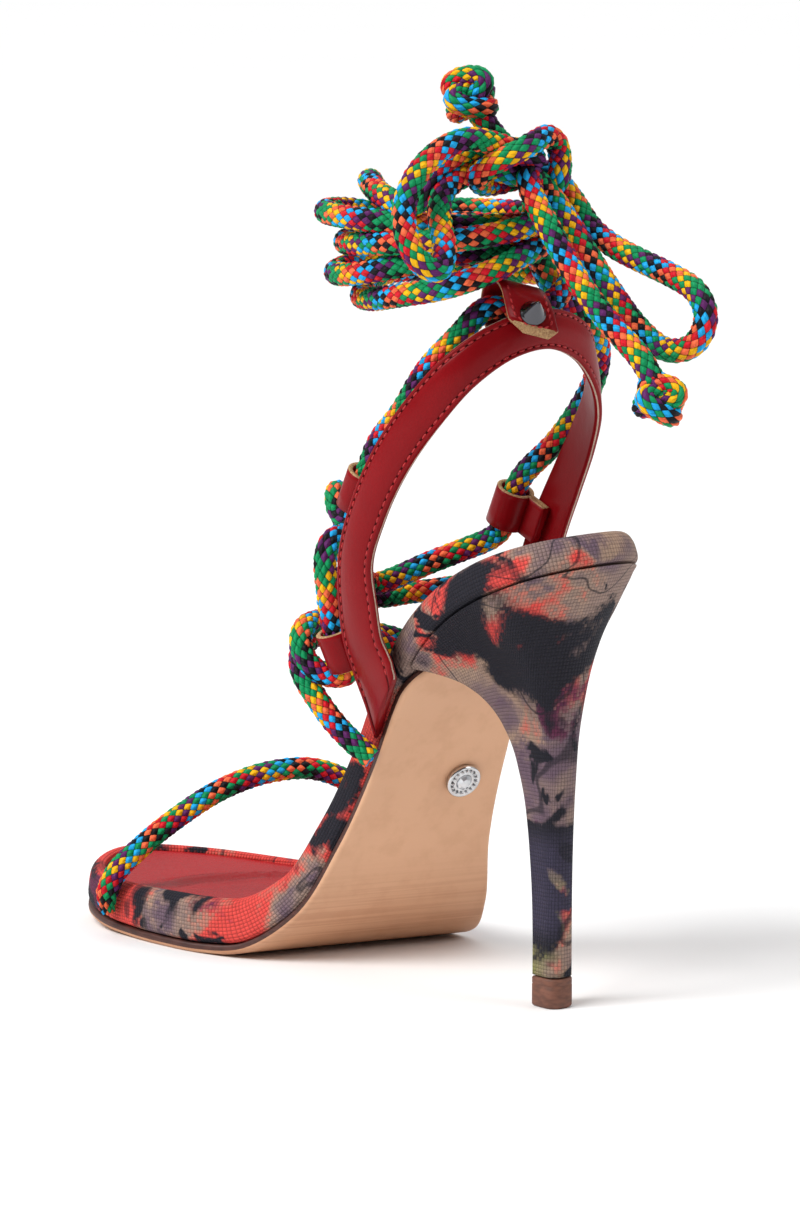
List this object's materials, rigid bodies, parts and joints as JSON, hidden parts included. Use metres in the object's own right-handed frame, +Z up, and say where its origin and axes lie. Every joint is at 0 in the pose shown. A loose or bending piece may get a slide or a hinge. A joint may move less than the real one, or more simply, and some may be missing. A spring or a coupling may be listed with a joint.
{
  "type": "stiletto sandal",
  "caption": "High-heeled open sandal for the right foot: covered platform sole and stem heel, leather ankle sling, rope over the toes and a rope lace wound and tied at the ankle.",
  "frame": {"origin": "centre of the heel tip's bottom face, on the floor", "axes": "+Y forward to the toe, +X to the outer side of the right foot, +Z up"},
  "size_m": [0.0937, 0.2272, 0.2443],
  "materials": {
    "outsole": "satin",
    "canvas": "matte",
    "red_leather": "semi-gloss",
    "rope": "matte",
    "heel_tip": "matte",
    "silver": "polished"
  },
  "bodies": {
    "root": {"outsole": "outsole", "platform": "canvas", "insole": "red_leather", "heel": "canvas", "heel_tip": "heel_tip", "sole_button": "silver", "ankle_sling": "red_leather", "keeper_medial_lower": "red_leather", "keeper_medial_upper": "red_leather", "keeper_lateral_upper": "red_leather", "keeper_lateral_lower": "red_leather", "heel_tab": "red_leather", "tab_spike": "silver", "toe_rope": "rope", "lace_crossings": "rope", "lace_riser_medial": "rope", "lace_riser_lateral": "rope", "lace_wrap": "rope", "lace_knot": "rope", "lace_loop_medial": "rope", "lace_loop_back": "rope", "lace_end_upper": "rope", "lace_end_lower": "rope", "lace_end_knot_upper": "rope", "lace_end_knot_lower": "rope"}
  },
  "joints": []
}
